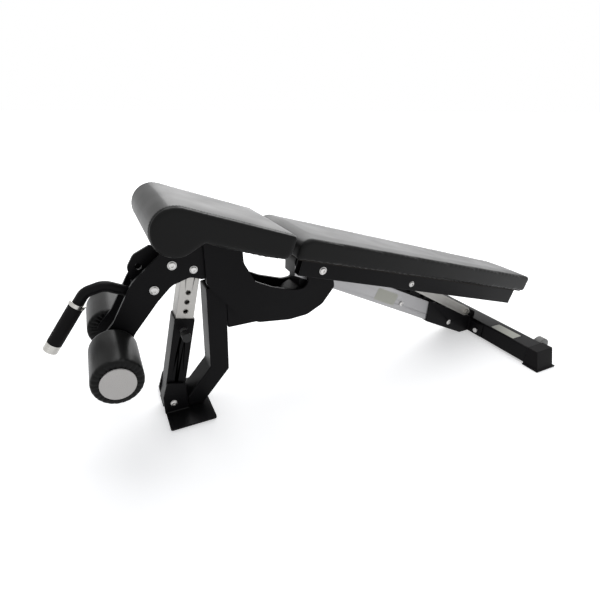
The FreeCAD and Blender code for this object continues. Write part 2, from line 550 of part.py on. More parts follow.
def make_carriage():
    near = side_plate()
    parts["seat_plate_near"] = near
    parts["seat_plate_far"] = mirrored(near)
    arm = arm_plate()
    parts["roller_arm_near"] = arm
    parts["roller_arm_far"] = mirrored(arm)
    ear = [(18, 462, 6), (-20, 444, 22), (-37, 416, 22), (-31, 386, 8), (-36, 350, 10), (14, 346, 16),
           (60, 392, 20), (76, 440, 10)]
    ear = plate(ear, -EAR_PLATE / 2, EAR_PLATE / 2)
    tools = [rod(EAR_HOLE, EAR_HOLE_RADIUS, -20, 20), handle_solid(HANDLE_RADIUS + FIT)]
    tools += [rod(p, BOLT + FIT, -20, 20) for p in ARM_BOLTS]
    parts["ear_plate"] = cut_all(ear, tools)
    spacers = [ring(p, SPACER_RADIUS, BOLT + FIT, -ARM_INNER, -EAR_PLATE / 2) for p in ARM_BOLTS]
    tie = seat_line(-98, -SEAT_THICK - 22)
    spacers += [mirrored(s) for s in spacers]
    spacers.append(ring(tie, SPACER_RADIUS, BOLT, -PLATE_INNER, PLATE_INNER))
    parts["plate_spacers"] = Part.makeCompound(spacers)
    bolts = []
    for p in ARM_BOLTS:
        bolt = through_bolt(p, BOLT, PLATE_INNER, 10.5, 6.0)
        socket = rod(p, 4.5, -PLATE_INNER - 7, -PLATE_INNER - 2.5)
        bolts.append(bolt.cut(socket))
    parts["arm_bolts"] = Part.makeCompound(bolts)
    parts["post_head_pin"] = through_bolt(POST_HEAD, BOLT, PLATE_INNER, 9.5, 4.0)


def quarter(centre, radius, start, end):
    """Arc in the XZ plane round centre, from start to end degrees from +X towards +Z."""
    points = []
    for angle in (start, (start + end) / 2, end):
        turn = math.radians(angle)
        points.append(V(centre[0] + radius * math.cos(turn), 0, centre[1] + radius * math.sin(turn)))
    return Part.Arc(*points).toShape()


def make_seat():
    """Seat cushion with a round nose, thinner behind, on a board and a mount plate."""
    half = SEAT_WIDTH / 2
    top, low = SEAT_REAR_TOP, SEAT_REAR_LOW
    start = V(-low, 0, -SEAT_THICK)
    nose = (-NOSE, -NOSE_RADIUS)
    nose_top = quarter(nose, NOSE_RADIUS, 90, 180)
    nose_low = quarter(nose, NOSE_RADIUS, 180, 360 - NOSE_WRAP)
    end = nose_low.lastVertex().Point
    step = V(end.x + BOARD_STEP - 6, 0, -SEAT_THICK)
    rear_low = quarter((-low, low - SEAT_THICK), low, 270, 360)
    rear_top = quarter((-top, -top), top, 0, 90)
    edges = [nose_top, nose_low, Part.makeLine(end, step), Part.makeLine(step, start), rear_low,
             Part.makeLine(V(0, 0, low - SEAT_THICK), V(0, 0, -top)), rear_top,
             Part.makeLine(V(-top, 0, 0), V(-NOSE, 0, 0))]
    face = Part.Face(Part.Wire(edges))
    face.translate(V(0, -half, 0))
    cushion = face.extrude(V(0, SEAT_WIDTH, 0))
    rim = [e for e in cushion.Edges if e.BoundBox.YLength < 0.01]
    cushion = cushion.makeFillet(EDGE, rim)
    front, rear, side = -BOARD_FRONT, -low - 4, half - BOARD_INSET - 8
    board_low = -SEAT_THICK - BOARD_THICK + BOARD_SINK
    cushion = cushion.cut(box(front - GAP, rear + GAP, -side - GAP, side + GAP,
                              -SEAT_THICK - 5, board_low + BOARD_THICK + GAP))
    board = box(front, rear, -side, side, board_low, board_low + BOARD_THICK)
    holes, screws = screw_set([25 - BOARD_FRONT, -MOUNT_REAR - 15], [-90, 90],
                              board_low - MOUNT_THICK, MOUNT_THICK)
    board = board.cut(holes)
    mount = box(-BOARD_FRONT, -MOUNT_REAR, -MOUNT_WIDTH / 2, MOUNT_WIDTH / 2,
                board_low - MOUNT_THICK, board_low).cut(holes)
    for name, shape in (("seat_cushion", cushion), ("seat_board", board), ("seat_mount_plate", mount),
                        ("seat_screws", screws)):
        parts[name] = placed(shape, SEAT_CORNER, SEAT_TILT)


def screw_set(places_s, places_y, under, grip):
    """Screws up through a plate whose lower face is at under; returns (holes, screws)."""
    holes, screws = [], []
    for s in places_s:
        for y in places_y:
            holes.append(Part.makeCylinder(3 + FIT, grip + 11, V(s, y, under - 1), V(0, 0, 1)))
            shank = Part.makeCylinder(3, grip + 9, V(s, y, under), V(0, 0, 1))
            head = Part.makeCylinder(6, 3, V(s, y, under - 3), V(0, 0, 1))
            screws.append(shank.fuse(head).removeSplitter())
    return Part.makeCompound(holes), Part.makeCompound(screws)


def make_rollers():
    """Foam rollers, each on a steel core that turns on the axle, closed by a round cap."""
    parts["roller_axle"] = rod(ROLLER_AXIS, AXLE_RADIUS, -ROLLER_OUT + 2, ROLLER_OUT - 2)
    foam = ring(ROLLER_AXIS, ROLLER_RADIUS, CORE_RADIUS, -ROLLER_OUT, -ROLLER_IN)
    rims = [e for e in foam.Edges if abs(e.BoundBox.XLength - 2 * ROLLER_RADIUS) < 0.1]
    foam = foam.makeFillet(8, rims)
    core = ring(ROLLER_AXIS, CORE_RADIUS, AXLE_RADIUS + FIT, -ROLLER_OUT, -ROLLER_IN + 3)
    cap = rod(ROLLER_AXIS, CAP_RADIUS, -ROLLER_OUT - CAP_THICK, -ROLLER_OUT)
    for name, shape in (("roller_foam", foam), ("roller_core", core), ("roller_cap", cap)):
        parts[name + "_near"] = shape
        parts[name + "_far"] = mirrored(shape)


# ---------------------------------------------------------------- telescopic post
def make_post():
    outer = square_tube(POST_SIZE, POST_SIZE, POST_WALL, -POST_BELOW, POST_ABOVE)
    outer = outer.cut(rod((0, 0), SMALL_BOLT + FIT, -60, 60))
    pin_height = POST_SPAN - HOLE_FIRST - HOLE_PITCH * (HOLES - 1)
    near = -POST_SIZE / 2
    bore = Part.makeCylinder(PIN_RADIUS + FIT, 20, V(0, near - 10, pin_height), V(0, 1, 0))
    outer = outer.cut(bore)
    tube = square_tube(TUBE_SIZE, TUBE_SIZE, TUBE_WALL, POST_SPAN + TUBE_HEAD - TUBE_LENGTH,
                       POST_SPAN + TUBE_HEAD)
    for i in range(HOLES + 1):
        height = POST_SPAN - HOLE_FIRST - HOLE_PITCH * i
        tube = tube.cut(rod((0, height), HOLE_RADIUS, -60, 60))
    slot = rod((-HEAD_SLOT, POST_SPAN), BOLT + 2, -60, 60).fuse(rod((HEAD_SLOT, POST_SPAN), BOLT + 2, -60, 60))
    slot = slot.fuse(box(-HEAD_SLOT, HEAD_SLOT, -60, 60, POST_SPAN - BOLT - 2, POST_SPAN + BOLT + 2))
    tube = tube.cut(slot)
    barrel = Part.makeCylinder(BARREL_RADIUS, BARREL_LENGTH, V(0, near - BARREL_LENGTH, pin_height), V(0, 1, 0))
    barrel = barrel.cut(Part.makeCylinder(PIN_RADIUS + FIT, 60, V(0, near - 50, pin_height), V(0, 1, 0)))
    tip = -TUBE_SIZE / 2 - 0.4
    start = near - BARREL_LENGTH - 1
    pin = Part.makeCylinder(PIN_RADIUS, tip - start, V(0, start, pin_height), V(0, 1, 0))
    knob = Part.makeCylinder(KNOB_RADIUS, KNOB_LENGTH, V(0, start - KNOB_LENGTH, pin_height), V(0, 1, 0))
    for name, shape in (("post_outer_tube", outer), ("post_inner_tube", tube),
                        ("pull_pin_barrel", barrel), ("pull_pin", pin), ("pull_pin_knob", knob)):
        parts[name] = placed(shape, POST_FOOT, POST_TILT)


# ---------------------------------------------------------------- backrest
def back_half(s):
    """Half width of the tapered backrest cushion at s along it."""
    share = (s - BACK_FRONT) / (BACK_REAR - BACK_FRONT)
    return (BACK_WIDTH_HINGE + (BACK_WIDTH_HEAD - BACK_WIDTH_HINGE) * share) / 2


def back_plan(inset, low, high):
    """Block with the cushion's tapered plan, inset all round, from low to high."""
    front, rear = BACK_FRONT + inset, BACK_REAR - inset
    near, far = back_half(front) - inset, back_half(rear) - inset
    corners = [V(front, -near, low), V(rear, -far, low), V(rear, far, low), V(front, near, low)]
    return Part.Face(Part.makePolygon(corners + corners[:1])).extrude(V(0, 0, high - low))


def box_tube(x0, x1, y0, y1, z0, z1, wall):
    """Rectangular tube, open along its longer horizontal side."""
    tube = box(x0, x1, y0, y1, z0, z1)
    if x1 - x0 > y1 - y0:
        return tube.cut(box(x0 - 1, x1 + 1, y0 + wall, y1 - wall, z0 + wall, z1 - wall))
    return tube.cut(box(x0 + wall, x1 - wall, y0 - 1, y1 + 1, z0 + wall, z1 - wall))


def make_back():
    """Tapered cushion and board on two rails, with the hinge lugs and the strut pin."""
    wide = max(BACK_WIDTH_HINGE, BACK_WIDTH_HEAD)
    side = [(BACK_FRONT, BACK_UNDER, 6), (BACK_FRONT, BACK_TOP, CORNER),
            (BACK_REAR, BACK_TOP, HEAD_CORNER), (BACK_REAR, BACK_UNDER, 6)]
    cushion = plate(side, -wide, wide).common(back_plan(0, BACK_UNDER - 5, BACK_TOP + 5))
    rim = [e for e in cushion.Edges
           if abs(abs(e.CenterOfMass.y) - back_half(e.CenterOfMass.x)) < 0.5]
    cushion = cushion.makeFillet(EDGE / 2, rim)
    cushion = cushion.cut(back_plan(BOARD_INSET - GAP, BACK_UNDER - 5, BACK_BOARD + BOARD_THICK + GAP))
    board = back_plan(BOARD_INSET, BACK_BOARD, BACK_BOARD + BOARD_THICK)
    rail = box_tube(RAIL_FRONT, RAIL_REAR, -RAIL_OUTER, -RAIL_INNER, RAIL_BOTTOM, BACK_BOARD, RAIL_WALL)
    rail = rail.cut(rod(STRUT_PIN, BOLT + FIT, -130, 130))
    rail_middle = (RAIL_OUTER + RAIL_INNER) / 2
    holes, screws = screw_set([60, 420, 780], [-rail_middle, rail_middle],
                              BACK_BOARD - RAIL_WALL, RAIL_WALL)
    tie = box_tube(TIE_FRONT, TIE_FRONT + TIE_DEPTH, -RAIL_INNER, RAIL_INNER, TIE_BOTTOM, BACK_BOARD,
                   RAIL_WALL)
    end = box_tube(RAIL_REAR - 5 - END_TIE_DEPTH, RAIL_REAR - 5, -RAIL_INNER, RAIL_INNER,
                   RAIL_BOTTOM + 5, BACK_BOARD, RAIL_WALL)
    lug = [(-LUG_RADIUS, -LUG_RADIUS, LUG_RADIUS - 1), (LUG_RADIUS, -LUG_RADIUS, LUG_RADIUS - 3),
           (50, 4, 20), (TIE_FRONT, TIE_BOTTOM + 4, 0), (TIE_FRONT, BACK_BOARD, 0),
           (-LUG_RADIUS, BACK_BOARD, 0)]
    lug = plate(lug, -LUG_OUTER, -LUG_INNER).cut(rod((0, 0), BOLT + FIT, -60, 60))
    plug = box(RAIL_REAR, RAIL_REAR + PLUG_THICK, -RAIL_OUTER, -RAIL_INNER, RAIL_BOTTOM, BACK_BOARD)
    pin = through_bolt(STRUT_PIN, BOLT, RAIL_OUTER, 9.0, 4.0)
    named = {"back_cushion": cushion, "back_board": board.cut(holes), "back_screws": screws,
             "back_ties": Part.makeCompound([tie, end]), "back_hinge_lugs": pair(lug),
             "back_rail_near": rail.cut(holes), "back_rail_far": mirrored(rail).cut(holes),
             "back_rail_plugs": pair(plug), "strut_pin": pin}
    for name, shape in named.items():
        parts[name] = placed(shape, BACK_HINGE, BACK_TILT)


def make_strut():
    """Two flat bars from the backrest pin to the rod that rests in the ladder."""
    r = STRUT_DEPTH / 2
    side = [(-r, -r, r - 0.5), (STRUT_SPAN + r, -r, r - 0.5), (STRUT_SPAN + r, r, r - 0.5), (-r, r, r - 0.5)]
    bar = plate(side, -STRUT_Y - STRUT_PLATE, -STRUT_Y)
    bar = bar.cut(rod((0, 0), STRUT_SLEEVE + FIT, -60, 60))
    bar = bar.cut(rod((STRUT_SPAN, 0), ROD_RADIUS + FIT, -60, 60))
    sleeve = ring((0, 0), STRUT_SLEEVE, BOLT + FIT, -STRUT_Y - STRUT_PLATE, STRUT_Y + STRUT_PLATE)
    bar_rod = rod((STRUT_SPAN, 0), ROD_RADIUS, -ROD_REACH, ROD_REACH)
    for name, shape in (("strut_bars", pair(bar)), ("strut_sleeve", sleeve), ("strut_rod", bar_rod)):
        parts[name] = placed(shape, STRUT_TOP, STRUT_TILT)


# ---------------------------------------------------------------- build and write
def build():
    make_foot()
    make_leg()
    make_neck()
    make_spine()
    make_sleeve()
    make_cross_foot()
    make_boots()
    make_wheels()
    make_ladder()
    make_handle()
    make_carriage()
    make_seat()
    make_rollers()
    make_post()
    make_back()
    make_strut()


build()
os.makedirs("parts", exist_ok=True)
LOW_X = min(shape.BoundBox.XMin for shape in parts.values())
HIGH_X = max(shape.BoundBox.XMax for shape in parts.values())
for name, shape in parts.items():
    shape.translate(V(-(LOW_X + HIGH_X) / 2, 0, 0))
    shape.exportStep("parts/" + name + ".step")
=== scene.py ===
"""Looks for the adjustable weight bench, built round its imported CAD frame. Metres."""
import json
import math
import bmesh
import bpy
import numpy as np
from mathutils import Matrix, Vector
from mathutils.bvhtree import BVHTree
from mathutils.kdtree import KDTree


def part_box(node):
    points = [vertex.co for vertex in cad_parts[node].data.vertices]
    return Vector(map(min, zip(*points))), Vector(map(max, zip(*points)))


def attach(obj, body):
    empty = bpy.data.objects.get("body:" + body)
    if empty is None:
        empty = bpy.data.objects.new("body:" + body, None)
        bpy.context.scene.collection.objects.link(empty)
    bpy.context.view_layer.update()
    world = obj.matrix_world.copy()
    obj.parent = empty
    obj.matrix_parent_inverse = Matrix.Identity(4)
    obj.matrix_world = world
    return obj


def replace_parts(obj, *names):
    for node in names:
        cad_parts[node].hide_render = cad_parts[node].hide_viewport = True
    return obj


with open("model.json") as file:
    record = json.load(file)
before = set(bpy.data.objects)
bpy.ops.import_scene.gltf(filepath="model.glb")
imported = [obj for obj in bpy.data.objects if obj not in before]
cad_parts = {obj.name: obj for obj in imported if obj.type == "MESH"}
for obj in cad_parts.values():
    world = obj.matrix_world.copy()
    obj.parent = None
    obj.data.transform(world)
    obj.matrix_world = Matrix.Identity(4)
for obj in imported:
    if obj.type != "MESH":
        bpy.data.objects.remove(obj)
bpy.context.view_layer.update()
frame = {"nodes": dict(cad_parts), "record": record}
record = frame["record"]
nodes = frame["nodes"]
SLOT = {s["node"]: s["material_slot"] for s in record["subparts"]}
BODY = {n: b for b, names in record["behaviour"]["bodies"].items() for n in names}
scene = bpy.context.scene
MM = 0.001


# ---------------------------------------------------------------- shader groups
def shader_group(name, inputs, outputs):
    group = bpy.data.node_groups.new(name, "ShaderNodeTree")
    for label, kind, value in inputs:
        sock = group.interface.new_socket(label, in_out="INPUT", socket_type=kind)
        sock.default_value = value
    for label, kind in outputs:
        group.interface.new_socket(label, in_out="OUTPUT", socket_type=kind)
    return group, group.nodes.new("NodeGroupInput"), group.nodes.new("NodeGroupOutput")


def grain_group():
    """Bump from two sizes of noise, in the piece's own object coordinates."""
    group, gin, gout = shader_group(
        "surface_grain", [("Scale", "NodeSocketFloat", 400.0), ("Strength", "NodeSocketFloat", 0.2),
                          ("Depth", "NodeSocketFloat", 0.0005), ("Cells", "NodeSocketFloat", 0.0)],
        [("Normal", "NodeSocketVector"), ("Height", "NodeSocketFloat")])
    n, l = group.nodes, group.links
    coord = n.new("ShaderNodeTexCoord")
    noise = n.new("ShaderNodeTexNoise")
    noise.inputs["Detail"].default_value = 3.0
    cells = n.new("ShaderNodeTexVoronoi")
    cells.feature = "DISTANCE_TO_EDGE"
    mix = n.new("ShaderNodeMix")
    bump = n.new("ShaderNodeBump")
    l.new(coord.outputs["Object"], noise.inputs["Vector"])
    l.new(coord.outputs["Object"], cells.inputs["Vector"])
    l.new(gin.outputs["Scale"], noise.inputs["Scale"])
    l.new(gin.outputs["Scale"], cells.inputs["Scale"])
    l.new(gin.outputs["Cells"], mix.inputs["Factor"])
    l.new(noise.outputs["Fac"], mix.inputs["A"])
    l.new(cells.outputs["Distance"], mix.inputs["B"])
    l.new(mix.outputs["Result"], bump.inputs["Height"])
    l.new(gin.outputs["Strength"], bump.inputs["Strength"])
    l.new(gin.outputs["Depth"], bump.inputs["Distance"])
    l.new(bump.outputs["Normal"], gout.inputs["Normal"])
    l.new(mix.outputs["Result"], gout.inputs["Height"])
    return group


def blotch_group():
    """Slow change of tone over a piece, as a value between Low and High."""
    group, gin, gout = shader_group(
        "surface_blotch", [("Scale", "NodeSocketFloat", 6.0), ("Low", "NodeSocketFloat", 0.4),
                           ("High", "NodeSocketFloat", 0.5)], [("Value", "NodeSocketFloat")])
    n, l = group.nodes, group.links
    coord = n.new("ShaderNodeTexCoord")
    noise = n.new("ShaderNodeTexNoise")
    noise.inputs["Detail"].default_value = 4.0
    remap = n.new("ShaderNodeMapRange")
    remap.inputs["From Min"].default_value = 0.3
    remap.inputs["From Max"].default_value = 0.7
    l.new(coord.outputs["Object"], noise.inputs["Vector"])
    l.new(gin.outputs["Scale"], noise.inputs["Scale"])
    l.new(noise.outputs["Fac"], remap.inputs["Value"])
    l.new(gin.outputs["Low"], remap.inputs["To Min"])
    l.new(gin.outputs["High"], remap.inputs["To Max"])
    l.new(remap.outputs["Result"], gout.inputs["Value"])
    return group


GRAIN, BLOTCH = grain_group(), blotch_group()


GLOSS_SCALE, GLOSS_DRIFT = 9.0, 0.12       # how finely and how far roughness wanders
TONE_SCALE = 5.0                           # how finely the colour's tone wanders


def placed(tree, group, values):
    """Node that holds a shader group, with its inputs set by name."""
    node = tree.nodes.new("ShaderNodeGroup")
    node.node_tree = group
    for label, value in values.items():
        node.inputs[label].default_value = value
    return node


def material(name, colour, rough, metal=0.0, specular=0.5, grain=(400.0, 0.15, 0.0003, 0.0),
             tone=0.15):
    """Procedural finish: colour and roughness drift a little, and grain gives the bump.

    grain is (scale, strength, depth, share of cells against noise).
    """
    mat = bpy.data.materials.new(name)
    mat.use_nodes = True
    tree = mat.node_tree
    bsdf = tree.nodes["Principled BSDF"]
    bsdf.inputs["Metallic"].default_value = metal
    bsdf.inputs["Specular IOR Level"].default_value = specular
    bump = placed(tree, GRAIN, dict(zip(("Scale", "Strength", "Depth", "Cells"), grain)))
    gloss = placed(tree, BLOTCH, {"Scale": GLOSS_SCALE, "Low": rough * (1 - GLOSS_DRIFT),
                                  "High": min(1.0, rough * (1 + GLOSS_DRIFT))})
    shade = placed(tree, BLOTCH, {"Scale": TONE_SCALE, "Low": 1.0 - tone, "High": 1.0 + tone})
    tint = tree.nodes.new("ShaderNodeVectorMath")
    tint.operation = "SCALE"
    tint.inputs[0].default_value = colour
    tree.links.new(bump.outputs["Normal"], bsdf.inputs["Normal"])
    tree.links.new(gloss.outputs["Value"], bsdf.inputs["Roughness"])
    tree.links.new(shade.outputs["Value"], tint.inputs["Scale"])
    tree.links.new(tint.outputs["Vector"], bsdf.inputs["Base Color"])
    return mat


MAT = {
    "vinyl": material("vinyl", (0.0065, 0.0065, 0.0064), 0.36, specular=0.11,
                      grain=(900.0, 0.08, 0.00035, 0.6), tone=0.08),
    "black_paint": material("black_paint", (0.0055, 0.0053, 0.0058), 0.38, specular=0.07,
                            grain=(700.0, 0.10, 0.0002, 0.0)),
    "silver_paint": material("silver_paint", (0.40, 0.395, 0.40), 0.34, metal=0.55,
                             grain=(900.0, 0.08, 0.0002, 0.0), tone=0.06),
    "chrome": material("chrome", (0.50, 0.49, 0.465), 0.27, metal=1.0,
                       grain=(300.0, 0.05, 0.0002, 0.0), tone=0.05),
    "plated": material("plated", (0.43, 0.42, 0.40), 0.40, metal=0.9,
                       grain=(500.0, 0.08, 0.0002, 0.0), tone=0.06),
    "zinc": material("zinc", (0.60, 0.59, 0.58), 0.33, metal=0.95,
                     grain=(1200.0, 0.2, 0.0002, 0.0), tone=0.12),
    "rubber": material("rubber", (0.005, 0.0046, 0.005), 0.6, specular=0.08,
                       grain=(1100.0, 0.3, 0.0003, 0.3)),
    "board": material("board", (0.018, 0.016, 0.014), 0.8, specular=0.15,
                      grain=(250.0, 0.4, 0.0006, 0.0)),
    "core_tube": material("core_tube", (0.05, 0.05, 0.05), 0.5, grain=(300.0, 0.1, 0.0002, 0.0)),
    "cap": material("cap", (0.44, 0.425, 0.41), 0.42, metal=0.2,
                    grain=(420.0, 0.9, 0.0009, 0.6), tone=0.08),
    "wheel": material("wheel", (0.10, 0.10, 0.095), 0.5, grain=(500.0, 0.15, 0.0003, 0.0)),
    "plug": material("plug", (0.012, 0.012, 0.012), 0.5, specular=0.3,
                     grain=(800.0, 0.15, 0.0002, 0.0)),
    "bush": material("bush", (0.02, 0.02, 0.02), 0.5, specular=0.3,
                     grain=(800.0, 0.15, 0.0002, 0.0)),
    "label": material("label", (0.42, 0.42, 0.37), 0.55, specular=0.3,
                      grain=(300.0, 0.05, 0.0001, 0.0), tone=0.05),
    "thread": material("thread", (0.03, 0.03, 0.03), 0.8, specular=0.2,
                       grain=(2500.0, 0.3, 0.0002, 0.0)),
    # inside of a bolt's socket: zinc painted dark for the shade in the recess
    "socket": material("socket", (0.05, 0.05, 0.05), 0.5, metal=0.6, specular=0.3,
                       grain=(900.0, 0.2, 0.0002, 0.0)),
    "weld": material("weld", (0.010, 0.010, 0.010), 0.36, specular=0.25,
                     grain=(900.0, 0.2, 0.0003, 0.0)),
}


WELD_GAP = 2e-6                            # points this close are one point


# ---------------------------------------------------------------- mesh helpers
def new_object(name, mesh, slot=None, body=None):
    obj = bpy.data.objects.new(name, mesh)
    scene.collection.objects.link(obj)
    if slot:
        mesh.materials.clear()
        mesh.materials.append(MAT[slot])
    if body:
        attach(obj, body)
    return obj


def bmesh_of(node):
    """Welded copy of a CAD node's mesh, in the row frame."""
    source = nodes[node]
    bm = bmesh.new()
    bm.from_mesh(source.data)
    bm.transform(source.matrix_world)
    bmesh.ops.remove_doubles(bm, verts=bm.verts, dist=WELD_GAP)
    return bm


def to_mesh(bm, name):
    mesh = bpy.data.meshes.new(name)
    bmesh.ops.recalc_face_normals(bm, faces=bm.faces)
    bm.to_mesh(mesh)
    bm.free()
    return mesh


def evaluated(obj):
    deps = bpy.context.evaluated_depsgraph_get()
    deps.update()
    return bpy.data.meshes.new_from_object(obj.evaluated_get(deps))


def shade_smooth(mesh, sharp=None):
    """Smooth faces; edges that turn by more than sharp degrees stay crisp."""
    for poly in mesh.polygons:
        poly.use_smooth = True
    if sharp:
        mesh.set_sharp_from_angle(angle=math.radians(sharp))


def soften(obj, width, segments, angle=32):
    """Rounded edges on a hard piece, without touching its own vertices."""
    weld = obj.modifiers.new("weld", "WELD")
    weld.merge_threshold = WELD_GAP
    bevel = obj.modifiers.new("edge", "BEVEL")
    bevel.width = width
    bevel.segments = segments
    bevel.limit_method = "ANGLE"
    bevel.angle_limit = math.radians(angle)
    bevel.use_clamp_overlap = True
    normal = obj.modifiers.new("normals", "WEIGHTED_NORMAL")
    normal.keep_sharp = True


# ---------------------------------------------------------------- padded pieces
CLOTH_FRAMES = 20


def points_of(mesh):
    """Vertex positions of a mesh, one per row."""
    flat = np.empty(len(mesh.vertices) * 3)
    mesh.vertices.foreach_get("co", flat)
    return flat.reshape(-1, 3)


def baked(obj):
    """Turns an object's modifiers into its plain mesh."""
    mesh = evaluated(obj)
    obj.modifiers.clear()
    obj.data = mesh


def inflate(obj, pressure, cap, pinned):
    """Blows a closed mesh up as cloth and keeps each point within cap of where it was.

    pinned(point) is how firmly a point is held, from 0 to 1.
    """
    rest = points_of(obj.data)
    held = obj.vertex_groups.new(name="held")
    for i, p in enumerate(rest):
        weight = pinned(p)
        if weight > 0:
            held.add([i], weight, "REPLACE")
    cloth = obj.modifiers.new("cloth", "CLOTH")
    settings = cloth.settings
    settings.quality = 5
    settings.mass = 0.3
    settings.tension_stiffness = 30
    settings.compression_stiffness = 30
    settings.shear_stiffness = 15
    settings.bending_stiffness = 4
    settings.use_pressure = True
    settings.uniform_pressure_force = pressure
    settings.vertex_group_mass = "held"
    settings.effector_weights.gravity = 0
    cloth.collision_settings.use_collision = False
    cloth.point_cache.frame_start = 1
    cloth.point_cache.frame_end = CLOTH_FRAMES
    for step in range(1, CLOTH_FRAMES + 1):
        scene.frame_set(step)
        bpy.context.view_layer.update()
    puffed = evaluated(obj)
    obj.modifiers.clear()
    scene.frame_set(1)
    obj.data = puffed
    move = points_of(puffed) - rest
    length = np.linalg.norm(move, axis=1, keepdims=True)
    move *= np.minimum(1.0, cap / np.maximum(length, 1e-9))
    puffed.vertices.foreach_set("co", (rest + move).ravel())
    puffed.update()


def soft_piece(name, node, voxel, pressure, cap, pinned):
    """Padded piece grown from a CAD node, which it stands in for."""
    obj = new_object(name, to_mesh(bmesh_of(node), name))
    remesh = obj.modifiers.new("remesh", "REMESH")
    remesh.mode = "VOXEL"
    remesh.voxel_size = voxel
    baked(obj)
    inflate(obj, pressure, cap, pinned)
    smooth = obj.modifiers.new("smooth", "SUBSURF")
    smooth.levels = smooth.render_levels = 1
    baked(obj)
    obj.data.materials.clear()
    obj.data.materials.append(MAT["vinyl"])
    shade_smooth(obj.data)
    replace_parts(obj, node)
    return obj


def slice_loops(obj, origin, normal):
    """Closed loops of points where a plane cuts a piece's surface."""
    bm = bmesh.new()
    bm.from_mesh(obj.data)
    cut = bmesh.ops.bisect_plane(bm, geom=bm.verts[:] + bm.edges[:] + bm.faces[:], dist=1e-7,
                                 plane_co=origin, plane_no=normal)["geom_cut"]
    edges = [e for e in cut if isinstance(e, bmesh.types.BMEdge)]
    linked = {}
    for e in edges:
        a, b = e.verts
        linked.setdefault(a, []).append(b)
        linked.setdefault(b, []).append(a)
    loops, seen = [], set()
    for start in linked:
        if start in seen:
            continue
        loop, here = [], start
        while here is not None and here not in seen:
            seen.add(here)
            loop.append(here.co.copy())
            here = next((v for v in linked[here] if v not in seen), None)
        loops.append(loop)
    bm.free()
    return sorted(loops, key=len, reverse=True)


def spread(loop, step, closed=True):
    """Even points along a loop of points."""
    pts = loop + loop[:1] if closed else loop
    gaps = [(b - a).length for a, b in zip(pts, pts[1:])]
    total = sum(gaps)
    count = max(3, int(total / step))
    out, i, run = [], 0, 0.0
    for k in range(count + (0 if closed else 1)):
        goal = total * k / count
        while i < len(gaps) - 1 and run + gaps[i] < goal:
            run += gaps[i]
            i += 1
        out.append(pts[i].lerp(pts[i + 1], (goal - run) / gaps[i] if gaps[i] else 0.0))
    return out


def groove(obj, points, depth, width):
    """Presses a line into a soft piece along the given points, fading over its width."""
    tree = KDTree(len(points))
    for i, p in enumerate(points):
        tree.insert(p, i)
    tree.balance()
    mesh = obj.data
    for v in mesh.vertices:
        away = tree.find(v.co)[2]
        if away < width * 3:
            v.co = v.co - v.normal * depth * math.exp(-(away / width) ** 2)
    mesh.update()


def curve_object(name, points, closed=True):
    curve = bpy.data.curves.new(name, "CURVE")
    curve.dimensions = "3D"
    line = curve.splines.new("POLY")
    line.points.add(len(points) - 1)
    for p, v in zip(line.points, points):
        p.co = (v.x, v.y, v.z, 1.0)
    line.use_cyclic_u = closed
    obj = bpy.data.objects.new(name, curve)
    scene.collection.objects.link(obj)
    return obj


# ---------------------------------------------------------------- geometry node groups
def geometry_group(name, inputs):
    group = bpy.data.node_groups.new(name, "GeometryNodeTree")
    group.interface.new_socket("Geometry", in_out="INPUT", socket_type="NodeSocketGeometry")
    for label, kind, value in inputs:
        sock = group.interface.new_socket(label, in_out="INPUT", socket_type=kind)
        if value is not None:
            sock.default_value = value
    group.interface.new_socket("Geometry", in_out="OUTPUT", socket_type="NodeSocketGeometry")
    return group, group.nodes.new("NodeGroupInput"), group.nodes.new("NodeGroupOutput")


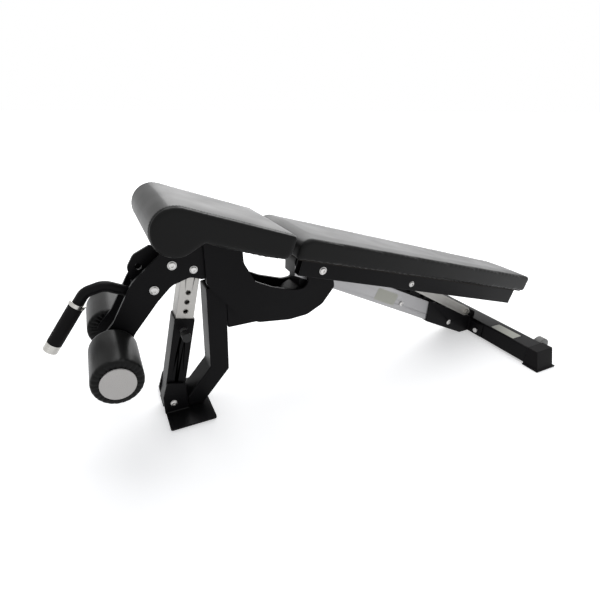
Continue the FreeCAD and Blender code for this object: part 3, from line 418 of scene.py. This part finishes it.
def bead_group():
    """Row of short rounded beads along a curve: stitches, or the ripples of a weld."""
    group, gin, gout = geometry_group("beads_on_path", [
        ("Spacing", "NodeSocketFloat", 0.005), ("Length", "NodeSocketFloat", 0.0035),
        ("Radius", "NodeSocketFloat", 0.0005), ("Jitter", "NodeSocketFloat", 0.1),
        ("Seed", "NodeSocketInt", 1), ("Material", "NodeSocketMaterial", None)])
    n, l = group.nodes, group.links
    path = n.new("GeometryNodeResampleCurve")
    path.mode = "LENGTH"
    bead = n.new("GeometryNodeMeshUVSphere")
    bead.inputs["Segments"].default_value = 8
    bead.inputs["Rings"].default_value = 5
    bead.inputs["Radius"].default_value = 1.0
    tangent = n.new("GeometryNodeInputTangent")
    turn = n.new("FunctionNodeAlignRotationToVector")
    turn.axis = "Z"
    half = n.new("ShaderNodeMath")
    half.operation = "MULTIPLY"
    half.inputs[1].default_value = 0.5
    size = n.new("ShaderNodeCombineXYZ")
    place = n.new("GeometryNodeInstanceOnPoints")
    random = n.new("FunctionNodeRandomValue")
    random.data_type = "FLOAT"
    low = n.new("ShaderNodeMath")
    low.operation = "SUBTRACT"
    low.inputs[0].default_value = 1.0
    grow = n.new("GeometryNodeScaleInstances")
    realize = n.new("GeometryNodeRealizeInstances")
    smooth = n.new("GeometryNodeSetShadeSmooth")
    paint = n.new("GeometryNodeSetMaterial")
    l.new(gin.outputs["Geometry"], path.inputs["Curve"])
    l.new(gin.outputs["Spacing"], path.inputs["Length"])
    l.new(path.outputs["Curve"], place.inputs["Points"])
    l.new(bead.outputs["Mesh"], place.inputs["Instance"])
    l.new(tangent.outputs["Tangent"], turn.inputs["Vector"])
    l.new(turn.outputs["Rotation"], place.inputs["Rotation"])
    l.new(gin.outputs["Length"], half.inputs[0])
    l.new(gin.outputs["Radius"], size.inputs["X"])
    l.new(gin.outputs["Radius"], size.inputs["Y"])
    l.new(half.outputs["Value"], size.inputs["Z"])
    l.new(size.outputs["Vector"], place.inputs["Scale"])
    l.new(gin.outputs["Jitter"], low.inputs[1])
    l.new(low.outputs["Value"], random.inputs[2])
    random.inputs[3].default_value = 1.0
    l.new(gin.outputs["Seed"], random.inputs["Seed"])
    l.new(place.outputs["Instances"], grow.inputs["Instances"])
    l.new(random.outputs[1], grow.inputs["Scale"])
    l.new(grow.outputs["Instances"], realize.inputs["Geometry"])
    l.new(realize.outputs["Geometry"], smooth.inputs["Geometry"])
    l.new(smooth.outputs["Geometry"], paint.inputs["Geometry"])
    l.new(gin.outputs["Material"], paint.inputs["Material"])
    l.new(paint.outputs["Geometry"], gout.inputs["Geometry"])
    return group


BEADS = bead_group()


def socket_id(group, label):
    return next(s.identifier for s in group.interface.items_tree
                if s.name == label and s.in_out == "INPUT")


def bead_row(name, paths, slot, body, spacing, length, radius, jitter=0.1, seed=1):
    """Beads along each (points, closed) path, as one plain mesh on a body."""
    parts = []
    for i, (points, closed) in enumerate(paths):
        guide = curve_object(name + "_path_%d" % i, points, closed)
        mod = guide.modifiers.new("beads", "NODES")
        mod.node_group = BEADS
        for label, value in (("Spacing", spacing), ("Length", length), ("Radius", radius),
                             ("Jitter", jitter), ("Seed", seed + i), ("Material", MAT[slot])):
            mod[socket_id(BEADS, label)] = value
        parts.append(evaluated(guide))
        bpy.data.objects.remove(guide)
    bm = bmesh.new()
    for mesh in parts:
        bm.from_mesh(mesh)
    mesh = bpy.data.meshes.new(name)
    bm.to_mesh(mesh)
    bm.free()
    shade_smooth(mesh)
    return new_object(name, mesh, slot, body)


def pucker_group():
    """Radial folds pressed into the flat end of a roller, deepest near the cap."""
    group, gin, gout = geometry_group("pucker_end", [
        ("Centre", "NodeSocketVector", (0.0, 0.0, 0.0)), ("Inner", "NodeSocketFloat", 0.036),
        ("Outer", "NodeSocketFloat", 0.052), ("Folds", "NodeSocketFloat", 26.0),
        ("Depth", "NodeSocketFloat", 0.002), ("Reach", "NodeSocketFloat", 0.012),
        ("Seed", "NodeSocketFloat", 1.0)])
    n, l = group.nodes, group.links

    def maths(operation, a, b=None, clamp=False):
        node = n.new("ShaderNodeMath")
        node.operation = operation
        node.use_clamp = clamp
        for i, value in enumerate((a, b)):
            if value is None:
                continue
            if isinstance(value, (int, float)):
                node.inputs[i].default_value = value
            else:
                l.new(value, node.inputs[i])
        return node.outputs[0]

    where = n.new("GeometryNodeInputPosition")
    local = n.new("ShaderNodeVectorMath")
    local.operation = "SUBTRACT"
    l.new(where.outputs["Position"], local.inputs[0])
    l.new(gin.outputs["Centre"], local.inputs[1])
    split = n.new("ShaderNodeSeparateXYZ")
    l.new(local.outputs["Vector"], split.inputs["Vector"])
    x, y, z = split.outputs
    angle = maths("ARCTAN2", z, x)
    radius = maths("SQRT", maths("ADD", maths("MULTIPLY", x, x), maths("MULTIPLY", z, z)))
    noise = n.new("ShaderNodeTexNoise")
    noise.noise_dimensions = "4D"
    noise.inputs["Scale"].default_value = 60.0
    l.new(where.outputs["Position"], noise.inputs["Vector"])
    l.new(gin.outputs["Seed"], noise.inputs["W"])
    phase = maths("ADD", maths("MULTIPLY", angle, gin.outputs["Folds"]),
                  maths("MULTIPLY", noise.outputs["Fac"], 9.0))
    wave = maths("POWER", maths("ABSOLUTE", maths("SINE", maths("MULTIPLY", phase, 0.5))), 0.6)
    fold = maths("SUBTRACT", 1.0, wave)
    band = maths("SUBTRACT", 1.0, maths("DIVIDE", maths("SUBTRACT", radius, gin.outputs["Inner"]),
                 maths("SUBTRACT", gin.outputs["Outer"], gin.outputs["Inner"])), clamp=True)
    near = maths("SUBTRACT", 1.0, maths("DIVIDE", maths("ABSOLUTE", y), gin.outputs["Reach"]),
                 clamp=True)
    amount = maths("MULTIPLY", maths("MULTIPLY", fold, maths("POWER", band, 0.7)), near)
    amount = maths("MULTIPLY", amount, maths("MULTIPLY", gin.outputs["Depth"], -1.0))
    normal = n.new("GeometryNodeInputNormal")
    push = n.new("ShaderNodeVectorMath")
    push.operation = "SCALE"
    l.new(normal.outputs["Normal"], push.inputs[0])
    l.new(amount, push.inputs["Scale"])
    move = n.new("GeometryNodeSetPosition")
    l.new(gin.outputs["Geometry"], move.inputs["Geometry"])
    l.new(push.outputs["Vector"], move.inputs["Offset"])
    l.new(move.outputs["Geometry"], gout.inputs["Geometry"])
    return group


PUCKER = pucker_group()


# ---------------------------------------------------------------- seat and backrest cushions
HELD_UNDER, HELD_FADE = 0.010, 0.02        # the underside stays put, then lets go upwards
HELD_SIDE, SIDE_FADE, SIDE_HOLD = 0.004, 0.012, 0.9
END_REACH = 0.04                           # the stretch at each end that gives its width
END_SHARE = 0.15                           # the same as a share of the puffed cushion
SEAM_STEP, SEAM_DEPTH, SEAM_WIDTH = 0.001, 0.0011, 0.0016
STITCH_STEP, STITCH_LIFT = 0.0016, 0.0001
STITCH_SPACING, STITCH_LENGTH, STITCH_RADIUS = 0.0062, 0.0042, 0.0004
STITCH_JITTER, STITCH_SEED = 0.08, 11


def centre_of(node):
    low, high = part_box(node)
    return (Vector(low) + Vector(high)) / 2


def top_of(node):
    """Direction down the slope, normal and middle of a sloping node's largest upper face."""
    bm = bmesh_of(node)
    bm.normal_update()
    top = max((f for f in bm.faces if f.normal.z > 0.5), key=lambda f: f.calc_area())
    normal, middle = top.normal.copy(), top.calc_center_median()
    bm.free()
    normal.y = 0
    normal.normalize()
    return Vector((normal.z, 0, -normal.x)), normal, middle


def fade(value, start, length):
    """1 up to start, then down to 0 over length."""
    return max(0.0, min(1.0, 1.0 - (value - start) / length))


def cushion(name, node, board, body, voxel, swell, pressure, seam_in, stitch_in):
    """Upholstered cushion with a pressed seam and a stitch line near each side face."""
    along, up, _ = top_of(board)
    source = bmesh_of(node)
    bottom = min(v.co.dot(up) for v in source.verts)
    runs = [v.co.dot(along) for v in source.verts]
    foot, head = min(runs), max(runs)
    half = [max(abs(v.co.y) for v in source.verts if abs(v.co.dot(along) - end) < END_REACH)
            for end in (foot, head)]
    source.free()

    def pinned(p):
        height = Vector(p).dot(up) - bottom
        share = (Vector(p).dot(along) - foot) / (head - foot)
        side = half[0] + (half[1] - half[0]) * share - abs(p[1])
        return max(fade(height, HELD_UNDER, HELD_FADE),
                   fade(side, HELD_SIDE, SIDE_FADE) * SIDE_HOLD)

    obj = soft_piece(name, node, voxel, pressure, swell, pinned)
    centre = centre_of(node)
    spans = [v.co - centre for v in obj.data.vertices]
    ends = [min(s.dot(along) for s in spans), max(s.dot(along) for s in spans)]
    length = ends[1] - ends[0]
    widths = [max(abs(s.y) for s in spans if abs(s.dot(along) - end) < END_SHARE * length)
              for end in ends]
    lean = math.atan2(widths[1] - widths[0], length * (1 - END_SHARE))
    stitches = []
    for sign in (-1, 1):
        normal = (Vector((0, sign, 0)) - along * math.tan(lean)).normalized()
        seam, row = [centre + Vector((0, sign * (sum(widths) / 2 - inset), 0))
                     for inset in (seam_in, stitch_in)]
        groove(obj, spread(slice_loops(obj, seam, normal)[0], SEAM_STEP), SEAM_DEPTH, SEAM_WIDTH)
        line = spread(slice_loops(obj, row, normal)[0], STITCH_STEP)
        surface = BVHTree.FromObject(obj, bpy.context.evaluated_depsgraph_get())
        snapped = []
        for p in line:
            hit, out = surface.find_nearest(p)[:2]
            snapped.append(hit + out * STITCH_LIFT)
        stitches.append((snapped, True))
    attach(obj, body)
    bead_row(name + "_stitches", stitches, "thread", body, STITCH_SPACING, STITCH_LENGTH,
             STITCH_RADIUS, STITCH_JITTER, STITCH_SEED)


cushion("seat_pad", "seat_cushion", "seat_board", "carriage", voxel=0.005, swell=0.0055,
        pressure=5.0, seam_in=0.0075, stitch_in=0.0125)
cushion("back_pad", "back_cushion", "back_board", "backrest", voxel=0.0058, swell=0.003,
        pressure=4.0, seam_in=0.006, stitch_in=0.011)


# ---------------------------------------------------------------- rollers
ROLLER_VOXEL, ROLLER_PRESSURE, ROLLER_SWELL = 0.004, 4.0, 0.0015
CORE_SHARE = 0.72                          # inside this share of the radius nothing swells
FOLD_INNER, FOLD_OUTER = 0.66, 1.02        # shares of the radius that the folds span
FOLD_DEPTH, FOLD_REACH = 0.0040, 0.014
FOLD_SEED = 40                             # sets the two ends apart


def roller(side):
    """Foam roller whose cover is gathered in folds at both flat ends."""
    node = "roller_foam_" + side
    low, high = [Vector(v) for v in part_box(node)]
    centre = (low + high) / 2
    radius = (high.z - low.z) / 2

    def pinned(p):
        away = math.hypot(p[0] - centre.x, p[2] - centre.z)
        return 1.0 if away < radius * CORE_SHARE else 0.0

    obj = soft_piece("roller_pad_" + side, node, ROLLER_VOXEL, ROLLER_PRESSURE, ROLLER_SWELL,
                     pinned)
    for end in (low.y, high.y):
        folds = obj.modifiers.new("pucker", "NODES")
        folds.node_group = PUCKER
        for label, value in (("Centre", (centre.x, end, centre.z)), ("Inner", radius * FOLD_INNER),
                             ("Outer", radius * FOLD_OUTER), ("Depth", FOLD_DEPTH),
                             ("Reach", FOLD_REACH), ("Seed", end * FOLD_SEED)):
            folds[socket_id(PUCKER, label)] = value
        baked(obj)
    shade_smooth(obj.data)
    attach(obj, "roller_" + side)


roller("near")
roller("far")


# ---------------------------------------------------------------- bolts
def islands(node):
    """(lowest, highest) corner of each separate solid of a CAD node, foot end first."""
    bm = bmesh_of(node)
    left, out = set(bm.verts), []
    while left:
        stack = [left.pop()]
        group = list(stack)
        while stack:
            v = stack.pop()
            for e in v.link_edges:
                w = e.other_vert(v)
                if w in left:
                    left.remove(w)
                    stack.append(w)
                    group.append(w)
        xs = [[v.co[k] for v in group] for k in range(3)]
        out.append((Vector([min(c) for c in xs]), Vector([max(c) for c in xs])))
    bm.free()
    return sorted(out, key=lambda corners: [round(c, 5) for c in corners[0]])


def ring_of(bm, place, height, reach, sides):
    """Ring of points round local Z at a height; reach(turn) is its radius at each turn."""
    ring = []
    for i in range(sides):
        turn = 2 * math.pi * i / sides
        r = reach(turn)
        ring.append(bm.verts.new(place @ Vector((r * math.cos(turn), r * math.sin(turn), height))))
    return ring


def skin(bm, a, b, index=0):
    """Faces between two rings."""
    for i in range(len(a)):
        j = (i + 1) % len(a)
        bm.faces.new((a[i], a[j], b[j], b[i])).material_index = index


def lathe(bm, profile, sides, place):
    """Adds a turned solid from (radius, height) pairs; place sets where local Z points."""
    rings = [ring_of(bm, place, h, lambda turn, r=r: r, sides) for r, h in profile]
    for a, b in zip(rings, rings[1:]):
        skin(bm, a, b)
    bm.faces.new(rings[0][::-1])
    bm.faces.new(rings[-1])


HEAD_SIDES, WASHER_SIDES, SHANK_SIDES = 24, 32, 24
# the button head's side, as (share of its radius, share of its height)
HEAD_PROFILE = ((1.0, 0.0), (1.0, 0.28), (0.93, 0.62), (0.76, 0.9), (0.56, 1.0))
SOCKET_SHARE = 0.46                        # socket's corners, as a share of the head's radius


def hex_socket(bm, place, radius, height, drop):
    """Round button head with a six-sided socket sunk in its top."""
    def six_sided(turn):
        wedge = (turn % (math.pi / 3)) - math.pi / 6
        return radius * SOCKET_SHARE * math.cos(math.pi / 6) / math.cos(wedge)

    rings = [ring_of(bm, place, height * h, lambda turn, r=r: radius * r, HEAD_SIDES)
             for r, h in HEAD_PROFILE]
    rings += [ring_of(bm, place, h, six_sided, HEAD_SIDES) for h in (height, height - drop)]
    for a, b in zip(rings, rings[1:]):
        # material 1, on the socket's walls and floor, is the painted shade
        skin(bm, a, b, 1 if b is rings[-1] else 0)
    bm.faces.new(rings[-1]).material_index = 1
    bm.faces.new(rings[0][::-1])


def frame_to(point, direction):
    """Matrix that takes local Z to direction at point."""
    quat = Vector(direction).to_track_quat("Z", "Y")
    return Matrix.Translation(point) @ quat.to_matrix().to_4x4()


WASHER, WASHER_EDGE, WASHER_TOP = 0.26, 0.8, 0.97    # share of the head; its bevelled rim
HEAD_SHARE, SOCKET_DEPTH = 0.86, 0.72      # head against washer, socket against head
SHANK = 0.58                               # shank's radius against the washer's


def bolt_ends(name, bm, body):
    """Finished object for a mesh of bolts, with their sockets painted dark as shade."""
    obj = new_object(name, to_mesh(bm, name), "zinc", body)
    # second material: painted shade inside the sockets
    obj.data.materials.append(MAT["socket"])
    shade_smooth(obj.data, sharp=30)
    return obj


def bolts(node, head):
    """Replaces a CAD bolt node with socket bolts and washers on the same axes and ends."""
    bm = bmesh.new()
    across = Vector((0.0, 1.0, 0.0))
    washer = head * WASHER
    for low, high in islands(node):
        centre = (low + high) / 2
        radius = min(high.x - low.x, high.z - low.z) / 2
        start, end = [Vector((centre.x, y, centre.z)) for y in (low.y, high.y)]
        for tip, out in ((start, -across), (end, across)):
            base = tip - out * head
            lathe(bm, [(radius, 0.0), (radius, washer * WASHER_EDGE), (radius * WASHER_TOP, washer)],
                  WASHER_SIDES, frame_to(base, out))
            hex_socket(bm, frame_to(base + out * washer, out), radius * HEAD_SHARE, head - washer,
                       (head - washer) * SOCKET_DEPTH)
        length = (end - start).length - 2 * head
        lathe(bm, [(radius * SHANK, 0.0), (radius * SHANK, length)], SHANK_SIDES,
              frame_to(start + across * head, across))
    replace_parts(bolt_ends(node + "_look", bm, BODY[node]), node)


for name in ("arm_bolts", "post_head_pin", "strut_pin", "hinge_bolts", "post_foot_pin"):
    bolts(name, 4.4 * MM)
bolts("spine_bolts", 3.0 * MM)


# ---------------------------------------------------------------- painted and plated pieces
# radius of each piece's rounded edges, in millimetres
EDGE_DEFAULT, EDGE_FINE = 0.6, 1.5
EDGE = {"front_foot_plate": 1.0, "front_leg": 3.0, "base_neck": 2.5, "spine": 3.0,
        "rear_socket": 2.0, "rear_cross_foot": 3.0, "post_outer_tube": 3.0,
        "post_inner_tube": 2.5, "back_rail_near": 2.0, "back_rail_far": 2.0,
        "rear_boot_near": 2.0, "rear_boot_far": 2.0, "seat_board": 1.5, "back_board": 1.5,
        "pull_pin_knob": 1.5, "handle_caps": 1.2, "roller_cap_near": 1.0, "roller_cap_far": 1.0}
LOOK = {"post_inner_tube": "plated", "strut_bars": "plated"}
for name, obj in nodes.items():
    obj.data.materials.clear()
    obj.data.materials.append(MAT[LOOK.get(name, SLOT[name])])
    width = EDGE.get(name, EDGE_DEFAULT)
    soften(obj, width * MM, 3 if width > EDGE_FINE else 2)

# the spine's front end is black where it meets the neck
nodes["spine"].data.materials.append(MAT["plug"])
for poly in nodes["spine"].data.polygons:
    poly.material_index = 1 if poly.normal.x < -0.5 else 0


CORNER_STEPS = 4


def flat_label(name, body, centre, along, up, size, corner=0.003, thick=0.0003):
    """Bare label: a thin round-cornered rectangle standing just off the face under it."""
    along, up = Vector(along).normalized(), Vector(up).normalized()
    out = along.cross(up).normalized()
    bm = bmesh.new()
    ring = []
    for k, (sx, sy) in enumerate(((1, 1), (-1, 1), (-1, -1), (1, -1))):
        for i in range(CORNER_STEPS + 1):
            turn = math.radians(90 * (k + i / CORNER_STEPS))
            x = sx * (size[0] / 2 - corner) + corner * math.cos(turn)
            y = sy * (size[1] / 2 - corner) + corner * math.sin(turn)
            ring.append(bm.verts.new(Vector(centre) + along * x + up * y + out * thick))
    face = bm.faces.new(ring)
    wall = bmesh.ops.extrude_face_region(bm, geom=[face])["geom"]
    for v in [g for g in wall if isinstance(g, bmesh.types.BMVert)]:
        v.co -= out * thick
    return new_object(name, to_mesh(bm, name), "label", body)


SPINE_LABEL, SPINE_LABEL_RUN, SPINE_LABEL_RISE = (0.088, 0.038), -0.064, 0.036
FOOT_LABEL, FOOT_LABEL_IN, FOOT_LABEL_Y = (0.084, 0.040), 0.027, -0.154

down_spine, up_spine, spine_top = top_of("spine")
bolt_low, bolt_high = islands("spine_bolts")[0]
bolt_at = (bolt_low + bolt_high) / 2
flat_label("spine_label", "base",
           (bolt_at.x + SPINE_LABEL_RUN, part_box("spine")[0][1], bolt_at.z + SPINE_LABEL_RISE),
           down_spine, up_spine, SPINE_LABEL)
foot_low, foot_high = [Vector(v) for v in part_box("rear_cross_foot")]
flat_label("foot_label", "base", (foot_low.x + FOOT_LABEL_IN, FOOT_LABEL_Y, foot_high.z),
           (0, 1, 0), (-1, 0, 0), FOOT_LABEL)


RAIL_BOLT_RUN, RAIL_BOLT_DROP = 0.039, 0.0155        # from the backrest's hinge
RAIL_WASHER = ((0.0105, 0.0), (0.0105, 0.0009), (0.0102, 0.0011))
RAIL_HEAD, RAIL_HEAD_HEIGHT, RAIL_SOCKET = 0.0088, 0.0036, 0.0026


def rail_heads():
    """Socket bolt on the outside of each backrest rail, just behind the hinge."""
    joints = record["behaviour"]["joints"]
    hinge = next(j["pos_m"] for j in joints if j["name"] == "back_recline")
    bm = bmesh.new()
    for node, sign in (("back_rail_near", -1), ("back_rail_far", 1)):
        low, high = [Vector(v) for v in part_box(node)]
        out = Vector((0, sign, 0))
        point = Vector((hinge[0] + RAIL_BOLT_RUN, low.y if sign < 0 else high.y,
                        hinge[2] - RAIL_BOLT_DROP))
        lathe(bm, RAIL_WASHER, WASHER_SIDES, frame_to(point, out))
        hex_socket(bm, frame_to(point + out * RAIL_WASHER[-1][1], out), RAIL_HEAD,
                   RAIL_HEAD_HEIGHT, RAIL_SOCKET)
    bolt_ends("rail_bolt_heads", bm, "backrest")


rail_heads()


WELD_SPACING, WELD_LENGTH, WELD_RADIUS, WELD_JITTER, WELD_SEED = 0.0032, 0.0062, 0.0021, 0.15, 5
FOOT_WELD_IN, LADDER_WELD_IN, LADDER_WELD_RUN = 0.003, 0.004, 0.38


def weld_lines():
    """Ripple welds where the clevis plates stand on the foot and the ladder on the spine."""
    plate_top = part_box("front_foot_plate")[1][2]
    paths = []
    for low, high in islands("foot_clevis_plates"):
        for y in (low.y, high.y):
            paths.append(([Vector((low.x + FOOT_WELD_IN, y, plate_top)),
                           Vector((high.x - FOOT_WELD_IN, y, plate_top))], False))
    for low, high in islands("ladder_plates"):
        x = low.x + LADDER_WELD_IN
        drop = (x - spine_top.x) * up_spine.x / up_spine.z
        start = Vector((x, low.y if low.y < 0 else high.y, spine_top.z - drop))
        paths.append(([start, start + down_spine * LADDER_WELD_RUN], False))
    bead_row("weld_beads", paths, "weld", "base", WELD_SPACING, WELD_LENGTH, WELD_RADIUS,
             WELD_JITTER, WELD_SEED)


weld_lines()


# ---------------------------------------------------------------- camera, floor and light
EYE = Vector((-0.074, -0.892, 0.744))      # from the front foot's left end, the middle, the floor
YAW, PITCH, ROLL = [math.radians(a) for a in (24.312, 25.66, -0.323)]
cam_data = bpy.data.cameras.new("camera")
camera = bpy.data.objects.new("camera", cam_data)
scene.collection.objects.link(camera)
scene.camera = camera
cam_data.sensor_width = 36.0
cam_data.lens = 23.826
cam_data.shift_x, cam_data.shift_y = 0.0415, -0.0056
cam_data.clip_start, cam_data.clip_end = 0.05, 60.0
look = Vector((math.sin(YAW) * math.cos(PITCH), math.cos(YAW) * math.cos(PITCH), -math.sin(PITCH)))
right = Vector((math.cos(YAW), -math.sin(YAW), 0.0))
down = look.cross(right)
right, down = (right * math.cos(ROLL) + down * math.sin(ROLL),
               down * math.cos(ROLL) - right * math.sin(ROLL))
eye = EYE + Vector((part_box("front_foot_plate")[0][0], 0.0, 0.0))
turn = Matrix((right, -down, -look)).transposed().to_4x4()
camera.matrix_world = Matrix.Translation(eye) @ turn

FLOOR_REACH, FLOOR_DROP = 60.0, 0.0005
GLOW_NEAR, GLOW_FAR = (1.6, 0.50), (4.5, 1.05)       # (distance from the bench, brightness)
floor_mesh = bpy.data.meshes.new("floor")
floor_mesh.from_pydata([(x * FLOOR_REACH, y * FLOOR_REACH, -FLOOR_DROP)
                        for x, y in ((-1, -1), (1, -1), (1, 1), (-1, 1))], [], [(0, 1, 2, 3)])
floor = bpy.data.objects.new("floor", floor_mesh)
scene.collection.objects.link(floor)
paper = material("floor_paper", (0.80, 0.80, 0.80), 0.9, specular=0.1,
                 grain=(40.0, 0.02, 0.0002, 0.0), tone=0.01)
# the paper brightens with distance, so that it has no horizon
tree = paper.node_tree
glow = tree.nodes["Principled BSDF"]
glow.inputs["Emission Color"].default_value = (1.0, 1.0, 1.0, 1.0)
place = tree.nodes.new("ShaderNodeTexCoord")
distance = tree.nodes.new("ShaderNodeVectorMath")
distance.operation = "LENGTH"
rise = tree.nodes.new("ShaderNodeMapRange")
for label, value in (("From Min", GLOW_NEAR[0]), ("From Max", GLOW_FAR[0]),
                     ("To Min", GLOW_NEAR[1]), ("To Max", GLOW_FAR[1])):
    rise.inputs[label].default_value = value
tree.links.new(place.outputs["Object"], distance.inputs[0])
tree.links.new(distance.outputs["Value"], rise.inputs["Value"])
tree.links.new(rise.outputs["Result"], glow.inputs["Emission Strength"])
floor_mesh.materials.append(paper)


def softbox(name, place, aim, size, power):
    """Rectangular white light at place, turned to aim."""
    data = bpy.data.lights.new(name, "AREA")
    data.shape = "RECTANGLE"
    data.size, data.size_y = size
    data.energy = power
    obj = bpy.data.objects.new(name, data)
    scene.collection.objects.link(obj)
    obj.location = place
    obj.rotation_mode = "QUATERNION"
    obj.rotation_quaternion = (Vector(aim) - Vector(place)).to_track_quat("-Z", "Y")


softbox("top_light", (0.3, 0.5, 3.0), (0.0, 0.0, 0.3), (3.2, 2.4), 70)
softbox("back_light", (2.0, 3.0, 0.85), (0.0, 0.0, 0.4), (4.6, 1.3), 25)
softbox("high_light", (1.6, 2.9, 2.5), (0.0, 0.0, 0.3), (4.2, 1.5), 98)

DIM, BRIGHT = ((0.9, 0.93, 1.0, 1.0), 0.30), ((1.0, 1.0, 1.0, 1.0), 1.0)   # (colour, strength)
world = bpy.data.worlds.new("world")
scene.world = world
world.use_nodes = True
wn, wl = world.node_tree.nodes, world.node_tree.links
wn.clear()
path = wn.new("ShaderNodeLightPath")
mix = wn.new("ShaderNodeMixShader")
for slot, (colour, strength) in ((1, DIM), (2, BRIGHT)):
    sky = wn.new("ShaderNodeBackground")
    sky.inputs["Color"].default_value = colour
    sky.inputs["Strength"].default_value = strength
    wl.new(sky.outputs[0], mix.inputs[slot])
# white where it is seen, mirrored or seen through, and dim where it lights
seen = path.outputs["Is Camera Ray"]
for kind in ("Is Glossy Ray", "Is Transmission Ray"):
    most = wn.new("ShaderNodeMath")
    most.operation = "MAXIMUM"
    wl.new(seen, most.inputs[0])
    wl.new(path.outputs[kind], most.inputs[1])
    seen = most.outputs[0]
wl.new(seen, mix.inputs["Fac"])
out = wn.new("ShaderNodeOutputWorld")
wl.new(mix.outputs[0], out.inputs["Surface"])
scene.view_settings.view_transform = "Standard"
